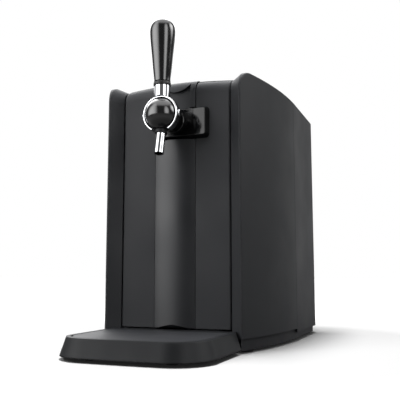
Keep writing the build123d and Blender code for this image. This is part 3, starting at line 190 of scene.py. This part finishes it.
# %% The machine's plastics
housing_abs = moulded_plastic("anthracite moulded ABS", "#2b2c2f", "#313235", roughness=0.55)
column_abs = moulded_plastic(
    "satin column ABS", "#2b2c2f", "#313235", roughness=0.38, grain=1.2 * mm, depth=0.012 * mm,
    shine=0.45)
tray_abs = moulded_plastic(
    "matt tray ABS", "#1b1c1e", "#202123", roughness=0.5, shine=0.22, edge=3.0 * mm)
plate_abs = moulded_plastic("drip plate ABS", "#2a2b2e", "#303134", roughness=0.55, shine=0.3)
inner_abs = moulded_plastic("dark inner ABS", "#1d1e20", "#252628", roughness=0.5)
liner_pp = moulded_plastic("grey polypropylene liner", "#8b8e92", "#989b9f", roughness=0.42)
part_nylon = moulded_plastic(
    "black glass filled nylon", "#17181a", "#222326", roughness=0.55, grain=0.7 * mm, depth=0.05 * mm)
grip_black = gloss_plastic("lacquered black phenolic", "#161618", "#1b1b1d", roughness=0.12, lacquer=1.0)
block_black = gloss_plastic("polished black ABS", "#09090b", "#0e0e10", roughness=0.12, lacquer=0.0)
window_black = gloss_plastic("smoked acrylic", "#0b0c0d", "#101113", roughness=0.07, lacquer=0.0)
made(housing_abs, column_abs, tray_abs, plate_abs, inner_abs, liner_pp, part_nylon)
made(grip_black, block_black, window_black)

# %% [markdown]
# ## Metals
# The bright parts of the tap are brass under chrome. Chrome hides the brass and mirrors the room, so
# the finish is mostly the studio around it, with a trace of polishing haze. Screws are zinc plated
# steel, duller and a little bluish. Hinge pins and the hose stub are stainless. The heat sink and the
# cold plate are extruded aluminium, which keeps fine draw lines along the die's direction. Real draw
# lines are finer than a hair. They are drawn 0.8 mm wide, so that they still show. The shader's own
# anisotropy could draw them too, but it needs a UV map, and streaks in the bump don't.

# %% Polished metal
haze_size = 5 * mm
haze_depth = 0.004 * mm
haze_change = 0.05


def polished_metal(name, dark, light, roughness):
    """Bright metal with a little haze from polishing."""
    material, tree, place = new_material(name)
    haze = add(tree, "ShaderNodeTexNoise", {"Vector": place, "Scale": 1 / haze_size, "Detail": 3.0})
    colour = add(tree, "ShaderNodeMix", {0: haze, 6: linear(dark), 7: linear(light)}, data_type="RGBA")
    gloss = add(tree, "ShaderNodeMapRange", {
        "Value": haze, "From Min": tight_low, "From Max": tight_high,
        "To Min": roughness, "To Max": roughness + haze_change})
    bump = add(tree, "ShaderNodeBump", {"Height": haze, "Strength": 1.0, "Distance": haze_depth})
    finish_surface(tree, {
        "Base Color": colour.outputs[2], "Metallic": 1.0, "Roughness": gloss, "Normal": bump})
    return material


# %% Drawn metal
streak_size = 0.8 * mm
streak_depth = 0.01 * mm
streak_change = 0.06


def drawn_metal(name, dark, light, roughness, stretch):
    """Extruded or turned metal, with draw lines along the stretched direction."""
    material, tree, place = new_material(name)
    lines = add(tree, "ShaderNodeMapping", {"Vector": place, "Scale": stretch})
    streaks = add(tree, "ShaderNodeTexNoise", {"Vector": lines, "Scale": 1 / streak_size, "Detail": 3.0})
    colour = add(tree, "ShaderNodeMix", {0: streaks, 6: linear(dark), 7: linear(light)}, data_type="RGBA")
    gloss = add(tree, "ShaderNodeMapRange", {
        "Value": streaks, "From Min": noise_low, "From Max": noise_high,
        "To Min": roughness - streak_change, "To Max": roughness + streak_change})
    bump = add(tree, "ShaderNodeBump", {"Height": streaks, "Strength": 1.0, "Distance": streak_depth})
    finish_surface(tree, {
        "Base Color": colour.outputs[2], "Metallic": 1.0, "Roughness": gloss, "Normal": bump})
    return material


# %% The machine's metals
along_z = (1.0, 1.0, 0.03)
along_y = (1.0, 0.03, 1.0)
chrome = polished_metal("bright chrome plate", "#d9dbde", "#e6e7e9", roughness=0.05)
zinc_steel = drawn_metal("zinc plated steel", "#9a9da1", "#b0b3b7", roughness=0.34, stretch=along_y)
stainless = polished_metal("stainless steel", "#b4b5b7", "#c4c5c7", roughness=0.2)
extruded_aluminium = drawn_metal(
    "extruded aluminium", "#a9abae", "#bcbec1", roughness=0.4, stretch=along_z)
bare_brass = drawn_metal("turned brass", "#b08d4c", "#c39f5c", roughness=0.28, stretch=along_y)
made(chrome, zinc_steel, stainless, extruded_aluminium, bare_brass)

# %% [markdown]
# ## Soft and electrical finishes
# Foam insulation is steam-moulded beads, so a cell pattern gives its closed bead skin, with painted shade
# in the gaps between the beads. The seals are silicone, which is soft to the eye and slightly milky at
# glancing angles. The feet are rubber. Circuit boards have green solder mask over copper, which shows as
# slightly raised tracks. The cooling tile's ceramic has the even skin of a moulding and takes that
# finish. Most of these pieces show only when the door or the lid is open, so patterns do instead of
# modelled beads and tracks.

# %% Bead foam
bead_size = 4 * mm
bead_gap_depth = 0.3 * mm


def bead_foam(name, dark, light, roughness):
    """Moulded bead foam: round cells a few millimetres wide, with painted shade in their shallow gaps."""
    material, tree, place = new_material(name)
    cells = add(tree, "ShaderNodeTexVoronoi", {"Vector": place, "Scale": 1 / bead_size})
    gaps = cells.outputs["Distance"]
    # The colour darkens towards the gaps between beads: painted shade in the recesses, on top of the bump.
    colour = add(tree, "ShaderNodeMix", {0: gaps, 6: linear(light), 7: linear(dark)}, data_type="RGBA")
    bump = add(tree, "ShaderNodeBump", {
        "Height": gaps, "Strength": 1.0, "Distance": bead_gap_depth}, invert=True)
    finish_surface(tree, {"Base Color": colour.outputs[2], "Roughness": roughness, "Normal": bump})
    return material


# %% Rubber and silicone
dust_size = 3 * mm
dust_depth = 0.05 * mm
dust_change = 0.06


def soft_rubber(name, dark, light, roughness, sheen):
    """Rubber or silicone: dull, with a dusty sheen."""
    material, tree, place = new_material(name)
    dust = add(tree, "ShaderNodeTexNoise", {"Vector": place, "Scale": 1 / dust_size, "Detail": 4.0})
    colour = add(tree, "ShaderNodeMix", {0: dust, 6: linear(dark), 7: linear(light)}, data_type="RGBA")
    dull = add(tree, "ShaderNodeMapRange", {
        "Value": dust, "From Min": noise_low, "From Max": noise_high,
        "To Min": roughness - dust_change, "To Max": roughness + dust_change})
    bump = add(tree, "ShaderNodeBump", {"Height": dust, "Strength": 1.0, "Distance": dust_depth})
    finish_surface(tree, {
        "Base Color": colour.outputs[2], "Roughness": dull, "Sheen Weight": sheen, "Normal": bump})
    return material


# %% Circuit board
track_grid = 9 * mm
track_width = 0.05
track_height = 0.05 * mm
white = (1, 1, 1, 1)
black = (0, 0, 0, 1)


def printed_board(name, mask, track, roughness):
    """Circuit board: solder mask with slightly raised copper tracks under it."""
    material, tree, place = new_material(name)
    grid = add(tree, "ShaderNodeTexBrick", {
        "Vector": place, "Scale": 1 / track_grid, "Mortar Size": track_width, "Color1": white,
        "Color2": white, "Mortar": black})
    tracks = grid.outputs["Color"]
    colour = add(tree, "ShaderNodeMix", {0: tracks, 6: linear(track), 7: linear(mask)}, data_type="RGBA")
    bump = add(tree, "ShaderNodeBump", {"Height": tracks, "Strength": 1.0, "Distance": track_height})
    finish_surface(tree, {"Base Color": colour.outputs[2], "Roughness": roughness, "Normal": bump})
    return material


# %% The machine's soft and electrical finishes
jacket_foam = bead_foam("expanded bead foam", "#c4c6c8", "#e3e4e5", roughness=0.85)
foot_rubber = soft_rubber("black rubber", "#161617", "#1f1f20", roughness=0.7, sheen=0.1)
seal_silicone = soft_rubber("grey silicone", "#55585b", "#63666a", roughness=0.5, sheen=0.15)
hose_silicone = soft_rubber("milky silicone hose", "#b9bcbd", "#cbcdce", roughness=0.35, sheen=0.2)
tile_ceramic = moulded_plastic(
    "white alumina ceramic", "#dcdcd8", "#eaeae6", roughness=0.5, grain=0.6 * mm, depth=0.01 * mm)
board_green = printed_board("green solder mask", "#0f4a2a", "#1d6a3d", roughness=0.35)
made(jacket_foam, foot_rubber, seal_silicone, hose_silicone, tile_ceramic, board_green)

# %% [markdown]
# ## Finish of each piece
# Every solid of the frame takes one finish. Only its material changes. The list goes by finish and not
# by piece, as a buyer's list does, so that a new finish for a family of pieces is one edit.

# %% Give each node its finish
finishes = [
    (housing_abs, ["left_side_panel", "right_side_panel", "rear_cover", "left_front_panel",
                   "right_front_panel", "lid_cover", "lid_pull", "base_pan"]),
    (tray_abs, ["drip_tray_body"]),
    (plate_abs, ["drip_plate"]),
    (column_abs, ["centre_column"]),
    (inner_abs, ["front_frame", "top_deck", "rear_bulkhead", "door_liner", "lid_core"]),
    (liner_pp, ["keg_well"]),
    (part_nylon, ["fan_frame", "fan_rotor", "power_supply", "air_pump", "mains_inlet",
                  "switch_bezel", "power_switch", "air_port", "spout_collar"]),
    (grip_black, ["handle_grip", "tap_ball"]),
    (block_black, ["tap_barrel", "tap_block"]),
    (window_black, ["display_window"]),
    (chrome, ["handle_yoke", "handle_neck", "spout", "yoke_pivots"]),
    (zinc_steel, ["fan_screws", "cover_screws", "door_screws", "pull_screws"]),
    (stainless, ["lid_hinge_pins", "door_hinge_pins", "hose_stub"]),
    (extruded_aluminium, ["cold_plate", "heat_sink"]),
    (bare_brass, ["inlet_pins", "tap_nut"]),
    (jacket_foam, ["well_insulation"]),
    (foot_rubber, ["rubber_feet", "tray_pads"]),
    (seal_silicone, ["door_gasket", "lid_gasket"]),
    (hose_silicone, ["air_line"]),
    (tile_ceramic, ["cooling_module"]),
    (board_green, ["control_board", "display_board"]),
]
for material, names in finishes:
    for name in names:
        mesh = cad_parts[name].data
        mesh.materials.clear()
        mesh.materials.append(material)
dressed = sorted(name for _, names in finishes for name in names)
print(len(dressed), "nodes dressed; left out:", sorted(set(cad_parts) - set(dressed)))

# %% [markdown]
# ## Ring under the grip
# A black rubber ring closes the gap between the grip and the bright neck, so that no beer creeps up the
# thread. It could be turned from a profile, but a ring is the quickest thing to draw from an open
# cylinder: a Solidify gives it its wall, a Bevel rounds its lips, and the belly comes from one loop of
# edges that is pushed out. It sits on the neck and moves with the handle.

# %% Select in code
def start_piece():
    """Object mode with nothing selected, as each new piece needs."""
    if bpy.context.object and bpy.context.object.mode != "OBJECT":
        bpy.ops.object.mode_set(mode="OBJECT")
    bpy.ops.object.select_all(action="DESELECT")


def pick_edges(piece, wanted):
    """Go into edit mode with just the edges selected whose two ends are both wanted."""
    bpy.ops.object.mode_set(mode="EDIT")
    bpy.ops.mesh.select_mode(type="EDGE")
    bpy.ops.mesh.select_all(action="DESELECT")
    bpy.ops.object.mode_set(mode="OBJECT")
    for edge in piece.data.edges:
        edge.select = all(wanted(piece.data.vertices[i].co) for i in edge.vertices)
    bpy.ops.object.mode_set(mode="EDIT")


# %% Finish a piece
crease = math.radians(35)


def finish_piece(piece, material, body):
    """Place in the mesh, modifiers applied, smooth faces, one finish, and the body that carries it."""
    bpy.ops.object.mode_set(mode="OBJECT")
    bpy.ops.object.transform_apply(location=True, rotation=True, scale=True)
    for modifier in list(piece.modifiers):
        bpy.ops.object.modifier_apply(modifier=modifier.name)
    bpy.ops.object.shade_smooth_by_angle(angle=crease)
    piece.data.materials.clear()
    piece.data.materials.append(material)
    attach(piece, body)
    corners = [vertex.co for vertex in piece.data.vertices]
    sizes = [(max(c[i] for c in corners) - min(c[i] for c in corners)) / mm for i in range(3)]
    print(piece.name, "is", [round(size, 1) for size in sizes], "mm")


# %% Model the grip ring
ring_r = 11.5 * mm
ring_h = 4.8 * mm
ring_wall = 0.6 * mm
ring_belly = 1.03
ring_sides = 96
belly_round = 0.9 * mm
lip_round = 0.25 * mm
round_steps = 3
middle_band = 0.1 * mm
ring_rubber = soft_rubber("black sealing rubber", "#0f0f10", "#161617", roughness=0.45, sheen=0.05)


def grip_ring():
    """Rubber ring round the top of the neck: bellied outside, with rounded lips."""
    neck_low, neck_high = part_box("handle_neck")
    grip_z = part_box("handle_grip")[0][2]
    start_piece()
    bpy.ops.mesh.primitive_cylinder_add(
        vertices=ring_sides, radius=ring_r, depth=ring_h, end_fill_type="NOTHING",
        location=((neck_low[0] + neck_high[0]) / 2, (neck_low[1] + neck_high[1]) / 2, grip_z - ring_h / 2))
    ring = bpy.context.object
    ring.name = "grip_ring"
    bpy.ops.object.mode_set(mode="EDIT")
    bpy.ops.mesh.select_all(action="SELECT")
    bpy.ops.mesh.subdivide(number_cuts=1)
    pick_edges(ring, lambda point: abs(point.z) < middle_band)
    bpy.ops.transform.resize(value=(ring_belly, ring_belly, 1.0), center_override=ring.location)
    bpy.ops.mesh.bevel(offset=belly_round, segments=round_steps, affect="EDGES")
    bpy.ops.object.mode_set(mode="OBJECT")
    wall = ring.modifiers.new("wall", "SOLIDIFY")
    wall.thickness = ring_wall
    wall.offset = -1.0
    lips = ring.modifiers.new("lips", "BEVEL")
    lips.width = lip_round
    lips.segments = round_steps
    lips.limit_method = "ANGLE"
    finish_piece(ring, ring_rubber, "tap_handle")


grip_ring()

# %% [markdown]
# ## Studio
# The machine stands on a white floor in a dim studio. The kind of ray tells apart what the eye sees,
# what mirrors see and what lights the plastic. Camera rays meet plain white. The lamps and a weak fill
# light the matt surfaces and cast the shadow. Rays that come by a mirror or by the plastic's own gleam
# meet a room: a white wall behind the machine, a pale ceiling and four softboxes. The two in front,
# left and right, draw the upright bands on the tap and the grip. The high one on the right lays a soft
# gleam on the machine's side, and the high one behind lights the hood's edge and the tray's top.

# %% Kinds of ray
def seen_rays(tree):
    """Whether a ray comes from the camera, and whether it comes by a mirror or through glass."""
    rays = add(tree, "ShaderNodeLightPath").outputs
    mirrored = add(tree, "ShaderNodeMath", {
        0: rays["Is Glossy Ray"], 1: rays["Is Transmission Ray"]}, operation="MAXIMUM")
    return rays["Is Camera Ray"], mirrored


# %% [markdown]
# ## Floor
# The floor is white to the eye and keeps the machine's shadow. Near the machine it shows only the light
# that falls on it, and further out its own glow takes over, so that it runs into the white behind with
# no line. It throws back less light than white paper would, and mirrors see it dimmer too, as on a set
# with black cloth around it. So the lower half of the ball and the foot of the side stay dark.

# %% Floor
floor_size = 40.0
floor_white = "#f6f6f6"
floor_bounce = "#6e6e6e"
floor_roughness = 0.8
mirror_floor = 0.2
glow_near = 0.01
glow_starts = 0.35
glow_full = 0.8


def plain_floor():
    """A large pale floor that keeps the machine's soft shadow and turns plain white further away."""
    bpy.ops.mesh.primitive_plane_add(size=floor_size, location=(0, 0, 0))
    floor = bpy.context.object
    floor.name = "studio_floor"
    material, tree, place = new_material("white studio floor")
    camera_ray, mirrored = seen_rays(tree)
    dimmer = add(tree, "ShaderNodeMath", {0: mirrored, 1: mirror_floor}, operation="MULTIPLY")
    seen = add(tree, "ShaderNodeMath", {0: camera_ray, 1: dimmer}, operation="MAXIMUM")
    away = add(tree, "ShaderNodeVectorMath", {0: place}, operation="LENGTH")
    glow = add(tree, "ShaderNodeMapRange", {
        "Value": away.outputs["Value"], "From Min": glow_starts, "From Max": glow_full,
        "To Min": glow_near, "To Max": 1.0})
    strength = add(tree, "ShaderNodeMath", {0: seen, 1: glow}, operation="MULTIPLY")
    colour = add(tree, "ShaderNodeMix", {
        0: camera_ray, 6: linear(floor_bounce), 7: linear(floor_white)}, data_type="RGBA")
    finish_surface(tree, {
        "Base Color": colour.outputs[2], "Roughness": floor_roughness, "Specular IOR Level": 0.0,
        "Emission Color": white, "Emission Strength": strength})
    floor.data.materials.append(material)
    print(floor.name, "turns plain white between", glow_starts, "and", glow_full, "m out")


plain_floor()

# %% [markdown]
# ## World
# The wall, the ceiling and the boxes could be panels of mesh. Here they are drawn on the directions of
# the sky, so they cast no shadow and never come into view. A box is a cone around its middle. Its edge
# fades between two angles, as a real softbox does, and a squash below 1 stretches it upright.

# %% Softboxes
def softbox(tree, direction, azimuth, rise, squash, inner, outer, strength):
    """A soft-edged glow in the world. Angles are in degrees, azimuth from +X, and rise is a slope."""
    turn = math.radians(azimuth)
    middle = Vector((math.cos(turn), math.sin(turn), rise)).normalized()
    level = add(tree, "ShaderNodeVectorMath", {0: direction, 1: (1.0, 1.0, squash)}, operation="MULTIPLY")
    level = add(tree, "ShaderNodeVectorMath", {0: level}, operation="NORMALIZE")
    toward = add(tree, "ShaderNodeVectorMath", {0: level, 1: middle}, operation="DOT_PRODUCT")
    return add(tree, "ShaderNodeMapRange", {
        "Value": toward.outputs["Value"], "To Min": 0.0, "To Max": strength,
        "From Min": math.cos(math.radians(outer)), "From Max": math.cos(math.radians(inner))})


left_box = dict(azimuth=-136, rise=-0.08, squash=0.4, inner=14, outer=41, strength=4.2)
right_box = dict(azimuth=-34, rise=0.12, squash=0.4, inner=5, outer=18, strength=3.6)
high_right_box = dict(azimuth=22, rise=0.62, squash=1.0, inner=6, outer=20, strength=6.0)
high_rear_box = dict(azimuth=122, rise=0.9, squash=1.0, inner=16, outer=38, strength=3.4)
softboxes = [left_box, right_box, high_right_box, high_rear_box]
print(len(softboxes), "softboxes")

# %% World
fill_level = 0.12
room_dark = 0.13
wall_level = 0.9
wall_starts = 0.78
wall_full = 1.05
ceiling_level = 1.7
ceiling_starts = 0.7
ceiling_full = 0.86


def studio_world():
    """Plain white for the eye, the studio's walls and softboxes for mirrors, soft fill for the rest."""
    world = bpy.data.worlds.new("studio")
    bpy.context.scene.world = world
    world.use_nodes = True
    tree = world.node_tree
    tree.nodes.clear()
    direction = add(tree, "ShaderNodeTexCoord").outputs["Generated"]
    parts = add(tree, "ShaderNodeSeparateXYZ", {0: direction})
    room = add(tree, "ShaderNodeMapRange", {
        "Value": parts.outputs["Y"], "From Min": wall_starts, "From Max": wall_full,
        "To Min": 0.0, "To Max": wall_level})
    ceiling = add(tree, "ShaderNodeMapRange", {
        "Value": parts.outputs["Z"], "From Min": ceiling_starts, "From Max": ceiling_full,
        "To Min": 0.0, "To Max": ceiling_level})
    for light in [ceiling, room_dark] + [softbox(tree, direction, **box) for box in softboxes]:
        room = add(tree, "ShaderNodeMath", {0: room, 1: light}, operation="ADD")
    camera_ray, mirrored = seen_rays(tree)
    unseen = add(tree, "ShaderNodeMix", {0: mirrored, 2: fill_level, 3: room})
    strength = add(tree, "ShaderNodeMix", {0: camera_ray, 2: unseen, 3: 1.0})
    back = add(tree, "ShaderNodeBackground", {"Color": white, "Strength": strength})
    add(tree, "ShaderNodeOutputWorld", {"Surface": back})
    print("world", world.name, "has", len(tree.nodes), "nodes")


studio_world()

# %% [markdown]
# ## Lamps
# Two soft lamps light the matt surfaces: a weak key from the front left, and a stronger panel overhead
# that gives the top its tone and the floor its shadow. Mirrors show the world's softboxes instead, so
# the matt and the mirrored light can be set one by one.

# %% Lamps
aim = Vector((0.0, -0.05, 0.2))
key_place = (-0.9, -1.4, 1.6)
key_size = (0.9, 0.9)
key_power = 9
overhead_place = (-0.015, 0.0, 2.2)
overhead_size = (0.48, 0.9)
overhead_power = 44


def area_light(name, place, size, power):
    """A soft rectangular light that looks at the machine and is left out of the mirrors."""
    lamp = bpy.data.lights.new(name, "AREA")
    lamp.shape = "RECTANGLE"
    lamp.size = size[0]
    lamp.size_y = size[1]
    lamp.energy = power
    holder = bpy.data.objects.new(name, lamp)
    holder.location = place
    holder.rotation_euler = (Vector(place) - aim).to_track_quat("Z", "Y").to_euler()
    holder.visible_glossy = False
    bpy.context.scene.collection.objects.link(holder)
    print(name, "lamp of", power, "W,", round((Vector(place) - aim).length, 2), "m away")


area_light("key", key_place, key_size, key_power)
area_light("overhead", overhead_place, overhead_size, overhead_power)

# %% [markdown]
# ## Camera
# The camera stands low and to the right, 0.8 m from the tap, and looks slightly up, so the uprights
# lean in a little towards the top. The lens is close to a normal one for this width of film.

# %% Camera
lens = 54.54
film_width = 36.0
camera_place = (0.33218, -0.8503, 0.09813)
looks_up = math.radians(90 + 7.14)
turned_left = math.radians(21.23)
camera_data = bpy.data.cameras.new("camera")
camera_data.sensor_width = film_width
camera_data.lens = lens
camera = bpy.data.objects.new("camera", camera_data)
camera.location = camera_place
camera.rotation_euler = (looks_up, 0.0, turned_left)
bpy.context.scene.collection.objects.link(camera)
bpy.context.scene.camera = camera
bpy.context.scene.view_settings.view_transform = "Standard"
ball_low, ball_high = (Vector(corner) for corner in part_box("tap_ball"))
print("camera is", round((camera.location - (ball_low + ball_high) / 2).length, 3), "m from the tap's ball")
